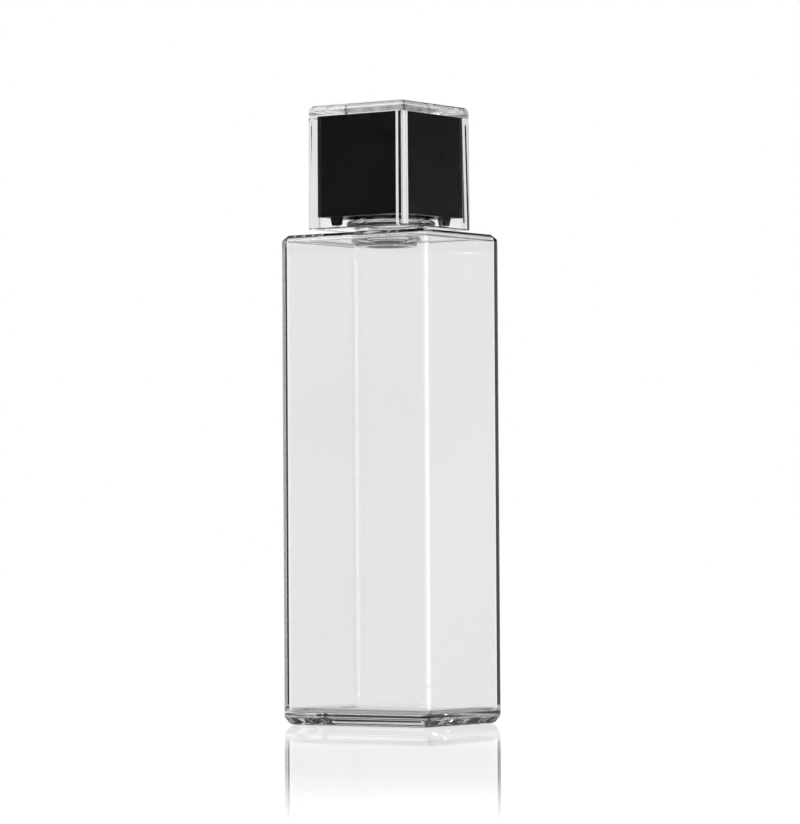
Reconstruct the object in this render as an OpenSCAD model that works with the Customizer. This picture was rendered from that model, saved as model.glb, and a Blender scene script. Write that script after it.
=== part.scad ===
// Splash bottle with a clear square screw cap.
// Millimetres, +Z up, origin at the centre of the base on the surface it stands on.
// The broad faces of the body look along -Y and +Y, the narrow ones along -X and +X.
// Helical threads are left off: the neck and the insert bore are smooth and clear each other.

/* [Bottle body] */
// Width of the body across X
body_w = 40; // [34:0.5:48]
// Depth of the body across Y
body_d = 30.4; // [26:0.2:38]
// Height of the body up to the flat shoulder
shoulder_z = 110.3; // [90:0.1:130]
// Radius of the four upright edges
edge_r = 1.9; // [1.9:0.1:4]
// Wall thickness of the four sides
wall = 1.3; // [1:0.1:2.5]
// Thickness of the floor over the heel
floor_t = 2.8; // [2:0.1:6]
// Thickness of the shoulder
shoulder_t = 1; // [1:0.1:3]
// Radius of the glass boss that hangs in the room under the neck
boss_r = 8.4; // [7.8:0.1:9.5]
// Depth of the boss under the shoulder, which is also the round of its rim
boss_h = 1.7; // [1:0.1:2]
// Width of the bevel round the heel and the shoulder, seen from above
bevel_in = 1.5; // [1:0.1:1.5]
// Height of the bevel round the heel
heel_h = 1.8; // [1:0.1:3]
// Height of the bevel round the shoulder
shoulder_h = 1.25; // [1:0.05:3]
// Length of the small facet that softens each end of a bevel
bevel_soft = 0.35; // [0.1:0.05:0.35]
// Width of the ring the bottle stands on
foot_w = 3.4; // [2.5:0.1:6]
// Depth of the push-up under the base
pushup = 0.6; // [0.3:0.1:1.2]

/* [Neck finish] */
// Height of the neck above the shoulder
neck_h = 15.7; // [12:0.1:18]
// Outer diameter of the neck under its thread
neck_e = 15.7; // [15:0.1:16]
// Diameter over the thread that the cap bore has to clear
neck_t = 17.8; // [17:0.1:18]
// Bore of the neck
neck_bore = 9.7; // [8.4:0.1:10.4]
// Diameter of the bead under the thread
bead_d = 18.4; // [17:0.1:19]
// Height of the middle of the bead above the shoulder
bead_z = 2.3; // [2:0.1:2.4]
// Thickness of the bead
bead_t = 1.4; // [1:0.1:1.6]

/* [Orifice reducer] */
// Diameter of the pouring hole
orifice_d = 3.2; // [1.6:0.1:3.8]
// Length of the plug inside the neck
plug_l = 8; // [5:0.5:10]
// Diameter of the flange on the lip of the neck
flange_d = 14.6; // [12:0.1:15]
// Thickness of the flange
flange_t = 0.7; // [0.5:0.1:1]

/* [Screw cap] */
// Side of the square cap at its open end
cap_w = 27; // [25:0.1:30]
// Height of the cap
cap_h = 27.9; // [24:0.1:34]
// Gap between the shoulder and the closed cap
cap_gap = 1.1; // [0.5:0.1:2]
// Inward draft of each side over the height of the cap
cap_draft = 0.13; // [0:0.01:0.5]
// Radius of the upright edges and of the top edges
cap_r = 1.5; // [1:0.1:3]
// Thickness of the clear top over the insert
cap_top = 2.35; // [1.5:0.05:5]
// Side of the square insert inside the cap
insert_w = 21.8; // [21:0.1:23]
// Distance from the open end of the cap to the insert
insert_up = 2.7; // [2:0.1:4]
// Length that a corner key takes from each side of the insert
key_w = 0.65; // [0.5:0.05:1]
// Angle between the flanks of a key and the sides of the insert
key_tilt = 21; // [20:1:30]
// Width of the flat that ends each key, where the insert and the clear cap meet
key_flat = 0.15; // [0.1:0.05:0.4]
// Air gap between the insert and the clear cap everywhere else
insert_play = 0.06; // [0.02:0.01:0.08]
// Play between the thread and the insert bore, on the radius
thread_play = 0.2; // [0.1:0.05:0.4]
// Thickness of the insert's top plate
plate_t = 1.3; // [1:0.1:2]
// Thickness of the ribs that back the liner
rib_t = 1; // [0.8:0.1:1.6]
// Number of ribs that back the liner
ribs = 4; // [3:1:8]
// Side of the square outline that the two corner tabs keep to
tab_w = 18.8; // [18:0.1:20]
// Length of the corner tabs
tab_l = 1.8; // [1:0.1:2.2]
// Diameter of the round space between the corner tabs
tab_bore = 21.6; // [20:0.1:23]
// Inward draft of the corner tabs over their length
tab_draft = 0.4; // [0:0.05:0.5]

/* [Liner] */
// Diameter of the foam disc
liner_d = 17.8; // [16:0.1:17.8]
// Thickness of the foam disc
liner_t = 1.1; // [0.8:0.1:2]

/* [Show] */
// Which sub-part to draw

/* [Hidden] */
eps = 0.01;
edge_fn = 48;
round_fn = 96;
// room inside the body
room_w = body_w - 2 * wall;
room_d = body_d - 2 * wall;
room_r = 1.3;
roof_r = 0.8;
room_top = shoulder_z - shoulder_t;
boss_z = room_top - boss_h;
// neck and what stands on it
neck_top = shoulder_z + neck_h;
neck_root_r = 0.8;
lip_r = 0.6;
throat_r = 0.6;
flange_top = neck_top + flange_t;
seat_gap = 0.02;
liner_z = flange_top + seat_gap;
liner_top = liner_z + liner_t;
// cap
cap_z = shoulder_z + cap_gap;
cap_top_z = cap_z + cap_h;
insert_z = cap_z + insert_up;
insert_top = cap_top_z - cap_top - insert_play;
insert_bore_r = neck_t / 2 + thread_play;
cavity_w = insert_w + 2 * insert_play;
cavity_top = insert_top + insert_play;
// length of a key's flanks
flank = (key_w - key_flat / sqrt(2)) / (cos(key_tilt) - sin(key_tilt));
// distance from the axis to the flat of a key, shared by the insert and its cavity
key_reach = (insert_w - key_w + flank * (cos(key_tilt) + sin(key_tilt))) / sqrt(2);
// the groove's flanks keep the same air gap to the key's flanks
groove_w = key_w + insert_play * (1 - cos(key_tilt) + sin(key_tilt)) / sin(key_tilt);
rib_z = liner_top + seat_gap;
rib_top = insert_top - plate_t;
plug_wall = 0.9;
seal_h = 0.7;
seal_out = 0.05;

// An upright box whose vertical corners are rounded by r. The child is the section of
// its edge, drawn from x = 0 at the corner's centre line out to x = r at the face, so the
// same section runs along the four sides and turns round the four corners.
module section_box(w, d, r, z0, z1) {
    run_x = w - 2 * r;
    run_y = d - 2 * r;
    rotate([90, 0, 0])
        linear_extrude(height = run_y, center = true)
            across(run_x, z0, z1) children();
    rotate([90, 0, 90])
        linear_extrude(height = run_x, center = true)
            across(run_y, z0, z1) children();
    for (sx = [-1, 1], sy = [-1, 1])
        translate([sx * run_x / 2, sy * run_y / 2, 0])
            rotate_extrude($fn = edge_fn) children();
}

// The edge section at both ends of a straight run, with the middle filled in.
module across(run, z0, z1) {
    translate([-run / 2, z0])
        square([run, z1 - z0]);
    for (s = [0, 1])
        mirror([s, 0])
            translate([run / 2, 0]) children();
}

// Edge section of the outside of the body: bevelled heel, face, bevelled shoulder.
module body_edge() {
    slope_h = bevel_soft * heel_h / norm([bevel_in, heel_h]);
    slope_i = bevel_soft * bevel_in / norm([bevel_in, heel_h]);
    top_h = bevel_soft * shoulder_h / norm([bevel_in, shoulder_h]);
    top_i = bevel_soft * bevel_in / norm([bevel_in, shoulder_h]);
    polygon([
        [0, 0],
        [edge_r - bevel_in - bevel_soft, 0],
        [edge_r - bevel_in + slope_i, slope_h],
        [edge_r - slope_i, heel_h - slope_h],
        [edge_r, heel_h + bevel_soft],
        [edge_r, shoulder_z - shoulder_h - bevel_soft],
        [edge_r - top_i, shoulder_z - shoulder_h + top_h],
        [edge_r - bevel_in + top_i, shoulder_z - top_h],
        [edge_r - bevel_in - bevel_soft, shoulder_z],
        [0, shoulder_z]
    ]);
}

// Edge section with a round of radius r at the bottom and a smaller one at the top.
module round_edge(r, top_r, z0, z1) {
    translate([0, z0 + r])
        square([r, z1 - z0 - r - top_r]);
    translate([0, z1 - top_r - eps])
        square([r - top_r, top_r + eps]);
    intersection() {
        union() {
            translate([0, z0 + r])
                circle(r, $fn = edge_fn);
            translate([r - top_r, z1 - top_r])
                circle(top_r, $fn = edge_fn);
        }
        translate([0, z0])
            square([r, z1 - z0]);
    }
}

// Half section of the neck's outside, from the shoulder up to the rounded lip.
module neck_section() {
    r = neck_e / 2;
    translate([0, shoulder_z - shoulder_t / 2])
        square([r, neck_h + shoulder_t / 2 - lip_r]);
    translate([0, neck_top - lip_r - eps])
        square([r - lip_r, lip_r + eps]);
    translate([r - lip_r, neck_top - lip_r])
        circle(lip_r, $fn = edge_fn);
    difference() {
        translate([r - eps, shoulder_z - eps])
            square([neck_root_r + eps, neck_root_r + eps]);
        translate([r + neck_root_r, shoulder_z + neck_root_r])
            circle(neck_root_r, $fn = edge_fn);
    }
    translate([0, shoulder_z + bead_z - bead_t / 2])
        square([bead_d / 2 - bead_t / 2, bead_t]);
    translate([bead_d / 2 - bead_t / 2, shoulder_z + bead_z])
        circle(bead_t / 2, $fn = edge_fn);
}

// Half section of the boss, flat below with a rounded rim, and carried up into the shoulder.
module boss_section() {
    translate([0, boss_z])
        square([boss_r - boss_h, boss_h + shoulder_t / 2]);
    intersection() {
        translate([boss_r - boss_h, room_top])
            circle(boss_h, $fn = edge_fn);
        translate([0, boss_z])
            square([boss_r, boss_h]);
    }
    translate([0, room_top - eps])
        square([boss_r, shoulder_t / 2]);
}

// Half section of the bore, flared where the neck runs out through the boss below.
module bore_section() {
    r = neck_bore / 2;
    translate([0, boss_z - 1])
        square([r, neck_top - boss_z + 2]);
    difference() {
        translate([0, boss_z - 1])
            square([r + throat_r, throat_r + 1]);
        translate([r + throat_r, boss_z + throat_r])
            circle(throat_r, $fn = edge_fn);
    }
}

// Hollow body with a flat shoulder, a round neck and a shallow push-up under the base.
module bottle() {
    foot_run = 2 * foot_w;
    color([0.86, 0.88, 0.88, 0.35])
    difference() {
        union() {
            section_box(body_w, body_d, edge_r, 0, shoulder_z) body_edge();
            rotate_extrude($fn = round_fn) neck_section();
        }
        difference() {
            section_box(room_w, room_d, room_r, floor_t, room_top)
                round_edge(room_r, roof_r, floor_t, room_top);
            rotate_extrude($fn = round_fn) boss_section();
        }
        rotate_extrude($fn = round_fn) bore_section();
        section_box(body_w - foot_run, body_d - foot_run, edge_r, -pushup, pushup)
            polygon([[0, -pushup], [edge_r, -pushup], [edge_r - pushup, pushup], [0, pushup]]);
    }
}

// Cup-shaped plug pushed into the neck, with a flange on the lip and a pouring hole.
module orifice_reducer() {
    plug_r = neck_bore / 2;
    hole_r = orifice_d / 2;
    color([0.93, 0.93, 0.9])
    rotate_extrude($fn = round_fn) {
        translate([hole_r, neck_top])
            square([flange_d / 2 - hole_r, flange_t]);
        translate([hole_r, neck_top - plug_wall])
            square([plug_r - hole_r, plug_wall + eps]);
        translate([plug_r - plug_wall, neck_top - plug_l])
            square([plug_wall, plug_l]);
        for (z = [plug_l * 0.35, plug_l * 0.75])
            translate([plug_r - plug_wall / 2, neck_top - z])
                polygon([
                    [0, -seal_h / 2],
                    [plug_wall / 2, -seal_h / 2],
                    [plug_wall / 2 + seal_out, 0],
                    [plug_wall / 2, seal_h / 2],
                    [0, seal_h / 2]
                ]);
    }
}

// Loose foam disc that the cap presses on the reducer's flange.
module liner() {
    color([0.9, 0.9, 0.88])
    translate([0, 0, liner_z])
        cylinder(h = liner_t, d = liner_d, $fn = round_fn);
}

// A square with a key at each corner. The two flanks of a key leave the sides at
// key_tilt, key short of the corner, and end at a flat that is key_reach from the middle.
module keyed_square(w, key) {
    run = (key_reach * sqrt(2) - w + key) / (cos(key_tilt) + sin(key_tilt));
    start = [w / 2, w / 2 - key];
    tip = start + run * [sin(key_tilt), cos(key_tilt)];
    corner = [start, tip, [tip.y, tip.x], [start.y, start.x]];
    polygon([
        for (a = [0 : 90 : 270], p = corner)
            [p.x * cos(a) - p.y * sin(a), p.x * sin(a) + p.y * cos(a)]
    ]);
}

// Square insert with keyed corners and a round bore for the neck, ribs that back the
// liner under a thin top plate, and tapered tabs on two of its lower corners.
module cap_insert() {
    color([0.09, 0.09, 0.09]) {
        difference() {
            translate([0, 0, insert_z])
                linear_extrude(height = insert_top - insert_z) keyed_square(insert_w, key_w);
            translate([0, 0, insert_z - 1])
                cylinder(h = rib_top - insert_z + 1, r = insert_bore_r, $fn = round_fn);
        }
        liner_ribs();
        corner_tabs();
    }
}

// Radial ribs hanging from the top plate down to the back of the liner.
module liner_ribs() {
    rib_out = insert_bore_r + 0.3;
    for (i = [0 : ribs - 1])
        rotate([0, 0, i * 360 / ribs])
            translate([0, -rib_t / 2, rib_z])
                cube([rib_out, rib_t, rib_top + eps - rib_z]);
}

// What a round space leaves of a small tapered square, kept under two opposite corners.
module corner_tabs() {
    tab_r = 0.8;
    difference() {
        section_box(tab_w, tab_w, tab_r, insert_z - tab_l, insert_z + eps)
            polygon([
                [0, insert_z - tab_l],
                [tab_r - tab_draft, insert_z - tab_l],
                [tab_r, insert_z + eps],
                [0, insert_z + eps]
            ]);
        translate([0, 0, insert_z - tab_l - 1])
            cylinder(h = tab_l + 2, d = tab_bore, $fn = round_fn);
        for (s = [-1, 1])
            translate([s * tab_w / 2, -s * tab_w / 2, insert_z])
                cube([tab_w, tab_w, 2 * tab_l + 2], center = true);
    }
}

// Edge section of the cap: drafted face and a rounded top edge.
module cap_edge() {
    round_x = cap_r - cap_draft;
    polygon([
        [0, cap_z],
        [cap_r, cap_z],
        [round_x, cap_top_z - round_x],
        [0, cap_top_z - round_x]
    ]);
    intersection() {
        translate([0, cap_top_z - round_x])
            circle(round_x, $fn = edge_fn);
        translate([0, cap_top_z - round_x - eps])
            square([round_x, round_x + eps]);
    }
}

// Thick clear cap with a square cavity open at the bottom, grooved for the insert's keys.
module cap_shell() {
    color([0.9, 0.92, 0.92, 0.35])
    difference() {
        section_box(cap_w, cap_w, cap_r, cap_z, cap_top_z) cap_edge();
        translate([0, 0, cap_z - 1])
            linear_extrude(height = cavity_top - cap_z + 1) keyed_square(cavity_w, groove_w);
    }
}

bottle();
orifice_reducer();
liner();
cap_insert();
cap_shell();
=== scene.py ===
"""Looks of the clear splash bottle: glass, acrylic, moulded plastics, threads, floor and light."""
import bpy
import bmesh
import math
from mathutils import Matrix, Vector


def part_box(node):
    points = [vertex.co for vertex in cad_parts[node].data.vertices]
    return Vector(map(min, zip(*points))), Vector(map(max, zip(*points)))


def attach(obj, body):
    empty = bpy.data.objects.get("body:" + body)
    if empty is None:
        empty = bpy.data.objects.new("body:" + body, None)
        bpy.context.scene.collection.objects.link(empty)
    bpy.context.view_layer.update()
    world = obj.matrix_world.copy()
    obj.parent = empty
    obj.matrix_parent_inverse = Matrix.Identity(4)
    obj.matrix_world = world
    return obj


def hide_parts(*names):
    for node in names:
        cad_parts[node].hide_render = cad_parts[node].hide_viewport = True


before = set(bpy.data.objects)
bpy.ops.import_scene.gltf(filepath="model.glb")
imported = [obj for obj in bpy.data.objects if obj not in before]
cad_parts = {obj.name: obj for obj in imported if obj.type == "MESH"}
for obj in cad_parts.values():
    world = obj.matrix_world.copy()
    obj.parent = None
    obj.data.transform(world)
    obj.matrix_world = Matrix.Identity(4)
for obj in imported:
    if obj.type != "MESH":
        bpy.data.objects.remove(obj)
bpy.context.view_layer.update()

MM = 0.001
NECK_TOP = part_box("bottle")[1].z

# the bottle, in millimetres as in part.scad
HALF_W, HALF_D, SHOULDER_Z = 20.0, 15.2, 110.3
EDGE_R, WALL, FLOOR_T, SHOULDER_T = 1.9, 1.3, 2.8, 1.0
BEVEL_IN, HEEL_H, SHOULDER_H, BEVEL_SOFT = 1.5, 1.8, 1.25, 0.35
FOOT_W, PUSHUP = 3.4, 0.6
ROOM_R, ROOF_R, BOSS_R, BOSS_H, THROAT_R = 1.3, 0.8, 8.4, 1.7, 0.6
NECK_R, NECK_H, BORE_R, ROOT_R, LIP_R = 7.85, 15.7, 4.85, 0.8, 0.6
BEAD_R, BEAD_HALF_T, BEAD_Z = 9.2, 0.7, 2.3

# the cap, in millimetres as in part.scad
CAP_LOW, CAP_HIGH, CAP_HALF, CAP_DRAFT, CAP_R, CAP_ROOF = 111.4, 139.3, 13.5, 0.13, 1.5, 2.35
INSERT_HALF, INSERT_PLAY = 10.9, 0.06
KEY_W, KEY_FLAT, KEY_TILT = 0.65, 0.15, math.radians(21)

# rounds and runs of both, in millimetres
HEEL_SOFT = 0.9        # ease between the heel's bevel and the foot
PUSHUP_RUN = 1.2       # width of the slope from the foot up into the push-up
PUSHUP_RADII = 1.0, 1.4
BORE_BREAK = 0.2       # chamfer where the bore meets the lip
CAP_BREAK = 0.3        # round along the cap's open edge
LEAST_R = 0.02         # a corner never closes to a point
LEAST_BEVEL_R = 0.05

# threads of the neck and of the insert's bore
PITCH = 3.175 * MM
THREAD_START = 0.6     # radians, the same for both: half a pitch of height keeps their ridges apart
THREAD_STEPS = 96      # for each turn
THREAD_FADE = 16       # steps over which an end tapers out
CREST_LEFT = 0.4       # share of the crest's width that is left at a tapered end
FLANK_TOP = 0.82       # share of the ridge's height where its flanks give way to the broken crest
CREST_FLAT = 0.6       # share of the crest's width that stays at full height


# ---------------------------------------------------------------- camera
def place_camera():
    """The photograph's viewing angle, from a fit to the bottle's edges."""
    dist, height, azimuth = 0.98325, 0.04143, math.radians(35.20)
    yaw, pitch, roll = 0.00212, 0.02935, -0.00631
    right0 = Vector((math.cos(azimuth), math.sin(azimuth), 0))
    ahead0 = Vector((-math.sin(azimuth), math.cos(azimuth), 0))
    up0 = Vector((0, 0, 1))
    right = math.cos(yaw) * right0 - math.sin(yaw) * ahead0
    ahead1 = math.sin(yaw) * right0 + math.cos(yaw) * ahead0
    ahead = math.cos(pitch) * ahead1 + math.sin(pitch) * up0
    up = -math.sin(pitch) * ahead1 + math.cos(pitch) * up0
    x_axis = math.cos(roll) * right + math.sin(roll) * up
    y_axis = math.cos(roll) * up - math.sin(roll) * right
    cam = bpy.data.objects.new("camera", bpy.data.cameras.new("camera"))
    bpy.context.scene.collection.objects.link(cam)
    cam.data.sensor_width = 36
    cam.data.lens = 190.44
    cam.data.clip_start = 0.01
    cam.data.clip_end = 20
    m = Matrix.Identity(4)
    for i, axis in enumerate((x_axis, y_axis, -ahead)):
        m[0][i], m[1][i], m[2][i] = axis
    m.translation = Vector((dist * math.sin(azimuth), -dist * math.cos(azimuth), height))
    cam.matrix_world = m
    bpy.context.scene.camera = cam


# ---------------------------------------------------------------- nodes and materials
class Nodes:
    """A small helper round a node tree, which it clears first."""

    def __init__(self, tree, output):
        self.tree = tree
        self.tree.nodes.clear()
        self.out = self.node(output)

    def node(self, kind, **values):
        n = self.tree.nodes.new(kind)
        for key, value in values.items():
            if key in n.inputs:
                n.inputs[key].default_value = value
            else:
                setattr(n, key, value)
        return n

    def link(self, a, b):
        self.tree.links.new(a, b)

    def math(self, operation, *terms):
        """An operation on one or two terms, each a socket or a number."""
        n = self.node("ShaderNodeMath", operation=operation)
        for socket, term in zip(n.inputs, terms):
            if isinstance(term, (int, float)):
                socket.default_value = term
            else:
                self.link(term, socket)
        return n.outputs[0]

    def ease(self, value, start, end, low, high):
        """A smooth change of the value, from low at start to high at end."""
        ends = {"From Min": start, "From Max": end, "To Min": low, "To Max": high}
        n = self.node("ShaderNodeMapRange", interpolation_type="SMOOTHSTEP", **ends)
        self.link(value, n.inputs["Value"])
        return n.outputs["Result"]

    def mix(self, factor, a, b):
        """Shader a where the factor is 0, and shader b where it is 1."""
        n = self.node("ShaderNodeMixShader")
        for socket, source in zip(n.inputs, (factor, a, b)):
            self.link(source, socket)
        return n.outputs[0]


class Mat(Nodes):
    """A material, with what most of them need."""

    def __init__(self, name):
        self.mat = bpy.data.materials.new(name)
        self.mat.use_nodes = True
        super().__init__(self.mat.node_tree, "ShaderNodeOutputMaterial")

    def here(self):
        """The point of the surface, in the piece's own coordinates."""
        return self.node("ShaderNodeTexCoord").outputs["Object"]

    def noise(self, scale, detail):
        """Noise in the piece's own coordinates, in cycles per millimetre."""
        mapping = self.node("ShaderNodeMapping", Scale=(scale / MM,) * 3)
        tex = self.node("ShaderNodeTexNoise", Scale=1.0, Detail=detail)
        self.link(self.here(), mapping.inputs["Vector"])
        self.link(mapping.outputs["Vector"], tex.inputs["Vector"])
        return tex.outputs["Fac"]

    def ramp(self, fac, low, high):
        """One colour up to 0.3 of the factor, another from 0.7, and a blend between."""
        r = self.node("ShaderNodeValToRGB")
        for el, position, colour in zip(r.color_ramp.elements, (0.3, 0.7), (low, high)):
            el.position = position
            el.color = (*colour, 1)
        self.link(fac, r.inputs["Fac"])
        return r.outputs["Color"]

    def bump(self, height, distance):
        b = self.node("ShaderNodeBump", Strength=1.0, Distance=distance)
        self.link(height, b.inputs["Height"])
        return b.outputs["Normal"]


def grey(level):
    return (level,) * 3


def clear(name, tint, ior, wave, absorb, gloss):
    """Clear glass or acrylic: a faint change of tint, slow waves, and light lost by the metre."""
    m = Mat(name)
    p = m.node("ShaderNodeBsdfPrincipled", Roughness=0.0, IOR=ior)
    p.inputs["Transmission Weight"].default_value = 1.0
    p.inputs["Specular Tint"].default_value = (*grey(gloss), 1)
    m.link(m.ramp(m.noise(0.02, 1.0), *map(grey, tint)), p.inputs["Base Color"])
    m.link(m.bump(m.noise(0.06, 1.0), wave), p.inputs["Normal"])
    m.link(p.outputs["BSDF"], m.out.inputs["Surface"])
    v = m.node("ShaderNodeVolumeAbsorption", Density=absorb, Color=(0, 0, 0, 1))
    m.link(v.outputs["Volume"], m.out.inputs["Volume"])
    return m.mat


def moulded(name, low, high, rough, scale, depth, specular=0.5, subsurface=0.0):
    """Moulded plastic: slight mottling between two colours, a fine spark-eroded grain and uneven gloss."""
    m = Mat(name)
    p = m.node("ShaderNodeBsdfPrincipled")
    p.inputs["Specular IOR Level"].default_value = specular
    if subsurface:
        p.inputs["Subsurface Weight"].default_value = subsurface
        p.inputs["Subsurface Radius"].default_value = (0.002, 0.002, 0.0018)
        p.inputs["Subsurface Scale"].default_value = 0.5
    m.link(m.ramp(m.noise(scale, 3.0), low, high), p.inputs["Base Color"])
    gloss = m.ramp(m.noise(scale * 3, 2.0), grey(rough * 0.85), grey(rough * 1.15))
    m.link(gloss, p.inputs["Roughness"])
    m.link(m.bump(m.noise(scale * 12, 2.0), depth), p.inputs["Normal"])
    m.link(p.outputs["BSDF"], m.out.inputs["Surface"])
    return m.mat


def dress(node, material):
    """Puts a material on a CAD node and smooths nothing: its normals are the solid's own."""
    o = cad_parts[node]
    o.data.materials.clear()
    o.data.materials.append(material)


# ---------------------------------------------------------------- meshes
def add_mesh(name, bm, material):
    """An object of this mesh in the scene, with its one material."""
    me = bpy.data.meshes.new(name)
    bm.to_mesh(me)
    bm.free()
    me.materials.append(material)
    o = bpy.data.objects.new(name, me)
    bpy.context.scene.collection.objects.link(o)
    return o


def skin(name, rows, bm, material):
    """One closed smooth skin through the rows of points, ended by a flat face at each end."""
    n = len(rows[0])
    for lo, hi in zip(rows, rows[1:]):
        for k in range(n):
            bm.faces.new((lo[k], lo[(k + 1) % n], hi[(k + 1) % n], hi[k]))
    bm.faces.new(list(reversed(rows[0])))
    bm.faces.new(rows[-1])
    bmesh.ops.recalc_face_normals(bm, faces=bm.faces)
    for f in bm.faces:
        f.smooth = True
    return add_mesh(name, bm, material)


# ---------------------------------------------------------------- lofted clear pieces
CORNER_STEPS = 16


def rect(hx, hy, r, z):
    """A ring: a rectangle of half sizes hx and hy with its corners rounded by r, in millimetres."""
    r = max(r, LEAST_R)
    ring = []
    for c in range(4):
        cx = (hx - r) * (1 if c in (0, 3) else -1)
        cy = (hy - r) * (1 if c in (0, 1) else -1)
        for j in range(CORNER_STEPS + 1):
            t = math.radians(90 * c + 90 * j / CORNER_STEPS)
            ring.append((cx + r * math.cos(t), cy + r * math.sin(t), z))
    return ring


def circ(r, z):
    """A round ring with as many points as a rectangular one."""
    n = 4 * (CORNER_STEPS + 1)
    angles = [2 * math.pi * (i + 0.5) / n for i in range(n)]
    return [(r * math.cos(a), r * math.sin(a), z) for a in angles]


def keyed(half, key, tilt, reach, z):
    """A square ring with a key at each corner: flanks at tilt to the sides, a flat at reach from the axis."""
    st, ct = math.sin(tilt), math.cos(tilt)
    run = (reach * math.sqrt(2) - 2 * half + key) / (st + ct)
    start = (half, half - key)
    tip = (half + run * st, half - key + run * ct)
    path = [start, tip, tip[::-1], start[::-1]]
    ring = []
    for c in range(4):
        a = math.radians(90 * c)
        for j in range(CORNER_STEPS + 1):
            t = 3 * j / CORNER_STEPS
            i = min(int(t), 2)
            x, y = [p + (q - p) * (t - i) for p, q in zip(path[i], path[i + 1])]
            ring.append((x * math.cos(a) - y * math.sin(a), x * math.sin(a) + y * math.cos(a), z))
    return ring


def arc(cx, cz, r, a0, a1, n):
    """Points of an arc in a section, as (distance, height)."""
    angles = [math.radians(a0 + (a1 - a0) * i / n) for i in range(n + 1)]
    return [(cx + r * math.cos(a), cz + r * math.sin(a)) for a in angles]


def bevel(height, soft_flat):
    """Insets and heights of a bevel from the flat to the upright face, its ends eased by short arcs."""
    steps = 6
    run = math.hypot(BEVEL_IN, height)
    ui, uz = BEVEL_IN / run, height / run
    flat_end = (BEVEL_IN, 0, soft_flat, (1, 0), (-ui, uz))
    face_end = (0, height, BEVEL_SOFT, (ui, -uz), (0, 1))
    pts = []
    for ci, cz, soft, d0, d1 in (flat_end, face_end):
        p0 = (ci + d0[0] * soft, cz + d0[1] * soft)
        p2 = (ci + d1[0] * soft, cz + d1[1] * soft)
        for j in range(steps + 1):
            t = j / steps
            pts.append(((1 - t) ** 2 * p0[0] + 2 * t * (1 - t) * ci + t * t * p2[0],
                        (1 - t) ** 2 * p0[1] + 2 * t * (1 - t) * cz + t * t * p2[1]))
    return pts


def loft(name, rings, material, body, stands_for, sharp):
    """A clear piece: a skin through the rings, in place of its CAD node."""
    bm = bmesh.new()
    rows = [[bm.verts.new([c * MM for c in p]) for p in ring] for ring in rings]
    o = skin(name, rows, bm, material)
    o.data.set_sharp_from_angle(angle=math.radians(sharp))
    # the large flats keep their own direction, and the small roundings take it up at their ends
    flats = o.modifiers.new("flats", "WEIGHTED_NORMAL")
    flats.mode = "FACE_AREA"
    flats.weight = 50
    flats.keep_sharp = True
    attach(o, body)
    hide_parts(stands_for)


def build_bottle(material):
    """The body from its push-up out over the heel, up and over the neck, and down the bore into the room."""
    inner_r, outer_r = PUSHUP_RADII
    fx, fy = HALF_W - FOOT_W, HALF_D - FOOT_W
    rings = [rect(fx - PUSHUP_RUN, fy - PUSHUP_RUN, inner_r, PUSHUP), rect(fx, fy, outer_r, 0)]
    heel = bevel(HEEL_H, HEEL_SOFT)
    shoulder = [(i, SHOULDER_Z - z) for i, z in reversed(bevel(SHOULDER_H, BEVEL_SOFT))]
    rings += [rect(HALF_W - i, HALF_D - i, max(EDGE_R - i, LEAST_BEVEL_R), z) for i, z in heel + shoulder]
    # the neck and its bead
    neck_top, bead = SHOULDER_Z + NECK_H, SHOULDER_Z + BEAD_Z
    rings += [circ(r, z) for r, z in arc(NECK_R + ROOT_R, SHOULDER_Z + ROOT_R, ROOT_R, 270, 180, 8)]
    rings += [circ(NECK_R, bead - BEAD_HALF_T)]
    rings += [circ(r, z) for r, z in arc(BEAD_R - BEAD_HALF_T, bead, BEAD_HALF_T, -90, 90, 12)]
    rings += [circ(NECK_R, bead + BEAD_HALF_T), circ(NECK_R, neck_top - LIP_R)]
    rings += [circ(r, z) for r, z in arc(NECK_R - LIP_R, neck_top - LIP_R, LIP_R, 0, 90, 6)]
    rings += [circ(BORE_R + BORE_BREAK, neck_top), circ(BORE_R, neck_top - BORE_BREAK)]
    # the bore runs out through the boss, and the boss's rim turns up into the roof of the room
    room_top = SHOULDER_Z - SHOULDER_T
    throat_z = room_top - BOSS_H + THROAT_R
    rings += [circ(r, z) for r, z in arc(BORE_R + THROAT_R, throat_z, THROAT_R, 180, 270, 8)]
    rings += [circ(r, z) for r, z in arc(BOSS_R - BOSS_H, room_top, BOSS_H, 270, 360, 10)]
    # the room, rounded into its roof and its floor
    ix, iy = HALF_W - WALL, HALF_D - WALL
    rings += [rect(ix - ROOF_R + d, iy - ROOF_R + d, ROOM_R - ROOF_R + d, z)
              for d, z in arc(0, room_top - ROOF_R, ROOF_R, 90, 0, 8)]
    rings += [rect(ix - ROOM_R + d, iy - ROOM_R + d, d, z)
              for d, z in arc(0, FLOOR_T + ROOM_R, ROOM_R, 0, -90, 8)]
    loft("bottle_glass", rings, material, "bottle_body", "bottle", sharp=28)


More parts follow.
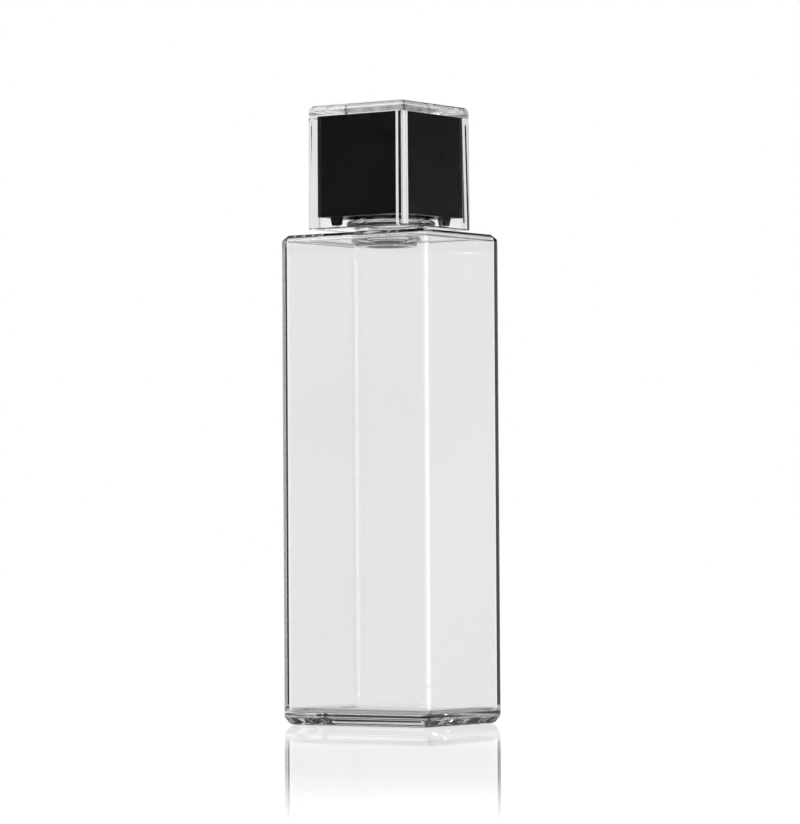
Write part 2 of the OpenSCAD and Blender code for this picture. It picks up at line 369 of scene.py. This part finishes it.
def build_cap_shell(material):
    """The clear cap from the roof of its cavity down its grooved inside, and up the outside to the top."""
    st, ct = math.sin(KEY_TILT), math.cos(KEY_TILT)
    # the grooves take the insert's corner keys and meet them only at the flats
    flank = (KEY_W - KEY_FLAT / math.sqrt(2)) / (ct - st)
    reach = (2 * INSERT_HALF - KEY_W + flank * (ct + st)) / math.sqrt(2)
    groove = KEY_W + INSERT_PLAY * (1 - ct + st) / st
    half = INSERT_HALF + INSERT_PLAY
    rings = [keyed(half, groove, KEY_TILT, reach, z) for z in (CAP_HIGH - CAP_ROOF, CAP_LOW)]
    low = CAP_HALF - CAP_BREAK
    rings += [rect(low + d, low + d, CAP_R - CAP_BREAK + d, z)
              for d, z in arc(0, CAP_LOW + CAP_BREAK, CAP_BREAK, -90, 0, 5)]
    # the draft takes the sides in by as much as it takes from the radius of the top edges
    high, top_r = CAP_HALF - CAP_R, CAP_R - CAP_DRAFT
    rings += [rect(high + d, high + d, d, z) for d, z in arc(0, CAP_HIGH - top_r, top_r, 0, 90, 12)]
    loft("cap_acrylic", rings, material, "cap", "cap_shell", sharp=15)


# ---------------------------------------------------------------- threads
def helix(name, material, body, root_r, crest_r, z0, turns, root_w, crest_w):
    """One start of thread: a ridge wound up a cylinder, with a broken crest, tapering out at both ends."""
    bm = bmesh.new()
    steps = int(turns * THREAD_STEPS)
    rows = []
    for i in range(steps + 1):
        t = i / steps
        a = THREAD_START + t * turns * 2 * math.pi
        z = z0 + t * turns * PITCH
        ease = min(1.0, t * steps / THREAD_FADE, (1 - t) * steps / THREAD_FADE)
        ease = math.sin(ease * math.pi / 2)
        top = root_r + (crest_r - root_r) * ease
        w0 = root_w / 2
        w1 = (crest_w / 2) * (CREST_LEFT + (1 - CREST_LEFT) * ease)
        w2 = w1 * CREST_FLAT
        mid = root_r + (top - root_r) * FLANK_TOP
        ring = [(root_r, -w0), (mid, -w1), (top, -w2), (top, w2), (mid, w1), (root_r, w0)]
        rows.append([bm.verts.new((r * math.cos(a), r * math.sin(a), z + h)) for r, h in ring])
    o = skin(name, rows, bm, material)
    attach(o, body)


# ---------------------------------------------------------------- stage and light
def build_floor():
    """A plain pale glossy sheet, as wide as any view needs, with a contact shadow painted under the bottle's
    foot where reflections and the glass see it.
    """
    m = Mat("floor_sheet")
    path = m.node("ShaderNodeLightPath").outputs
    # it takes shadows as a pale sheet, and the camera sees it lifted to white
    plain = m.node("ShaderNodeBsdfDiffuse")
    m.link(m.ramp(m.noise(0.004, 1.0), grey(0.90), grey(0.92)), plain.inputs["Color"])
    seen = m.node("ShaderNodeAddShader")
    m.link(m.node("ShaderNodeBsdfDiffuse", Color=(*grey(0.32), 1)).outputs[0], seen.inputs[0])
    m.link(m.node("ShaderNodeEmission", Strength=0.80).outputs[0], seen.inputs[1])
    # reflections and clear things see it white, with a painted contact shadow under the bottle: its glow is
    # 0.45 under the foot and eases to white within 4 mm past it
    where = m.node("ShaderNodeSeparateXYZ")
    m.link(m.here(), where.inputs[0])
    beyond = [m.math("SUBTRACT", m.math("ABSOLUTE", where.outputs[axis]), (half - BEVEL_IN) * MM)
              for axis, half in (("X", HALF_W), ("Y", HALF_D))]
    white = m.node("ShaderNodeEmission")
    # painted shadow: the white glow is dimmed by the distance past the foot's edge
    m.link(m.ease(m.math("MAXIMUM", *beyond), 0.0, 0.004, 0.45, 1.0), white.inputs["Strength"])
    through = m.math("MAXIMUM", path["Is Glossy Ray"], path["Is Transmission Ray"])
    sheet = m.mix(through, plain.outputs[0], white.outputs[0])
    sheet = m.mix(path["Is Camera Ray"], sheet, seen.outputs[0])
    # its gloss is weak under the bottle, strongest round it, and gone far away
    away = m.node("ShaderNodeVectorMath", operation="LENGTH")
    m.link(m.here(), away.inputs[0])
    fade = m.ease(away.outputs["Value"], 0.18, 0.40, 1.0, 0.0)
    worn = m.ease(away.outputs["Value"], 0.045, 0.14, 0.40, 1.0)
    fresnel = m.node("ShaderNodeFresnel", IOR=1.6)
    weight = m.math("MULTIPLY", m.math("MULTIPLY", fade, worn), fresnel.outputs[0])
    gloss = m.node("ShaderNodeBsdfGlossy", Roughness=0.03, Color=(1, 1, 1, 1))
    m.link(m.mix(weight, sheet, gloss.outputs[0]), m.out.inputs["Surface"])

    bm = bmesh.new()
    cells, half = 24, 3.0
    ticks = [-half + 2 * half * i / cells for i in range(cells + 1)]
    grid = [[bm.verts.new((x, y, 0)) for y in ticks] for x in ticks]
    for i in range(cells):
        for j in range(cells):
            bm.faces.new((grid[i][j], grid[i + 1][j], grid[i + 1][j + 1], grid[i][j + 1]))
    o = add_mesh("floor", bm, m.mat)
    o.location.z = -0.05 * MM


def once(m, depth):
    """A factor that is 1 for rays whose depth of this kind is one, and 0 for all others."""
    n = m.node("ShaderNodeMath", operation="COMPARE")
    n.inputs[1].default_value = 1.0
    n.inputs[2].default_value = 0.5
    m.link(m.node("ShaderNodeLightPath").outputs[depth], n.inputs[0])
    return n.outputs[0]


def card(m, start, end, radius, low, high, tone, met, inner):
    """A curved card round the bottle, between two azimuths in degrees, that only reflections meet.

    An inner card is met by light that was reflected inside the glass, the others by its outside."""
    glow = m.node("ShaderNodeEmission", Strength=tone)
    clear_way = m.node("ShaderNodeBsdfTransparent")
    m.link(m.mix(met, clear_way.outputs[0], glow.outputs[0]), m.out.inputs["Surface"])
    bm = bmesh.new()
    steps = 24
    rows = []
    for i in range(steps + 1):
        a = math.radians(start + (end - start) * i / steps)
        rows.append([bm.verts.new((radius * math.cos(a), radius * math.sin(a), z)) for z in (low, high)])
    for p, q in zip(rows, rows[1:]):
        bm.faces.new((p[0], q[0], q[1], p[1]))
    o = add_mesh(m.mat.name, bm, m.mat)
    o.visible_camera = False
    o.visible_diffuse = False
    o.visible_shadow = False
    o.visible_volume_scatter = False
    o.visible_glossy = not inner
    o.visible_transmission = inner


def dark_card(name, start, end, inner):
    """A black card above the level of the bottle: the clear cap mirrors it, as in a studio."""
    m = Mat(name)
    card(m, start, end, radius=0.7, low=0.158, high=0.5, tone=0.01, met=once(m, "Glossy Depth"), inner=inner)


def bright_card(name, tone, inner, radius, high, rise, fall):
    """A bright strip that the upright edges mirror, soft over the azimuths of its rise and its fall."""
    m = Mat(name)
    where = m.node("ShaderNodeSeparateXYZ")
    m.link(m.here(), where.inputs[0])
    azimuth = m.math("ARCTAN2", where.outputs["Y"], where.outputs["X"])
    met = once(m, "Glossy Depth" if inner else "Ray Depth")
    for none, full in (rise, fall):
        met = m.math("MULTIPLY", met, m.ease(azimuth, math.radians(none), math.radians(full), 0.0, 1.0))
    card(m, rise[0], fall[0], radius, 0.0, high, tone, met, inner)


def soft_light(name, location, size, watts):
    """A square area lamp that looks at the middle of the bottle."""
    light = bpy.data.lights.new(name, "AREA")
    light.shape = "RECTANGLE"
    light.size = light.size_y = size
    light.energy = watts
    o = bpy.data.objects.new(name, light)
    bpy.context.scene.collection.objects.link(o)
    o.location = location
    o.rotation_euler = (Vector((0, 0, 0.07)) - Vector(location)).to_track_quat("-Z", "Y").to_euler()


def build_world():
    """White to the camera, to reflections and through the glass; a plainer level for the light itself."""
    world = bpy.data.worlds.new("studio")
    bpy.context.scene.world = world
    world.use_nodes = True
    w = Nodes(world.node_tree, "ShaderNodeOutputWorld")
    path = w.node("ShaderNodeLightPath").outputs
    # the sweep is white up to above the horizon, and the studio over it is darker
    split = w.node("ShaderNodeSeparateXYZ")
    w.link(w.node("ShaderNodeTexCoord").outputs["Generated"], split.inputs[0])
    over = w.ease(split.outputs["Z"], 0.12, 0.30, 1.0, 0.08)
    white = w.node("ShaderNodeBackground", Color=(1, 1, 1, 1))
    w.link(w.math("MAXIMUM", path["Is Camera Ray"], over), white.inputs["Strength"])
    soft = w.node("ShaderNodeBackground", Color=(0.92, 0.93, 0.95, 1), Strength=0.75)
    seen = w.math("MAXIMUM", path["Is Camera Ray"], path["Is Glossy Ray"])
    seen = w.math("MAXIMUM", seen, path["Is Transmission Ray"])
    w.link(w.mix(seen, soft.outputs[0], white.outputs[0]), w.out.inputs["Surface"])


# ---------------------------------------------------------------- the scene
glass = clear("clear_glass", tint=(0.888, 0.905), ior=1.5, wave=0.01 * MM, absorb=12.0, gloss=1.0)
acrylic = clear("clear_acrylic", tint=(0.975, 0.99), ior=1.49, wave=0.004 * MM, absorb=8.0, gloss=0.3)
black = moulded("black_plastic", grey(0.007), grey(0.010),
                rough=0.32, scale=0.15, depth=0.004 * MM, specular=0.1)
milky = moulded("natural_polyethylene", (0.80, 0.80, 0.77), (0.86, 0.86, 0.83),
                rough=0.42, scale=0.2, depth=0.006 * MM, subsurface=0.3)
foam = moulded("liner_foam", (0.74, 0.74, 0.71), (0.84, 0.84, 0.81),
               rough=0.75, scale=1.2, depth=0.03 * MM)

build_bottle(glass)
build_cap_shell(acrylic)
dress("cap_insert", black)
dress("orifice_reducer", milky)
dress("liner", foam)

helix("neck_thread", glass, "bottle_body", root_r=7.83 * MM, crest_r=8.85 * MM,
      z0=NECK_TOP - 8.3 * MM, turns=2.0, root_w=2.2 * MM, crest_w=1.3 * MM)
helix("insert_thread", black, "cap", root_r=9.14 * MM, crest_r=8.05 * MM,
      z0=NECK_TOP - 9.9 * MM, turns=2.25, root_w=1.5 * MM, crest_w=0.9 * MM)

build_floor()
for side, start, end in (("left", 230.5, 262), ("right", 50.5, 82)):
    dark_card("card_" + side, start, end, inner=False)
    dark_card("card_" + side + "_in", start, end, inner=True)
# the floor hides the foot of the far card from the foot of the edges, which mirror the near one there
far = {"radius": 0.30, "high": 0.129, "rise": (-48, -5), "fall": (50, 32)}
near = {"radius": 0.10, "high": 0.0062, "rise": (-46, -10), "fall": (41, 23)}
for name, place in (("card_bright", far), ("card_low", near)):
    bright_card(name, 2.5, inner=False, **place)
    bright_card(name + "_in", 4.6, inner=True, **place)
build_world()
soft_light("key", (-0.55, -0.75, 0.75), 0.5, 4)
soft_light("strip", (0.9, 0.2, 0.9), 0.6, 4)
place_camera()
bpy.context.scene.view_settings.view_transform = "Standard"
# thick clear walls lead light by inner reflections, and what is reflected very often is lost
bpy.context.scene.cycles.max_bounces = 32
bpy.context.scene.cycles.glossy_bounces = 9
bpy.context.scene.cycles.transmission_bounces = 28
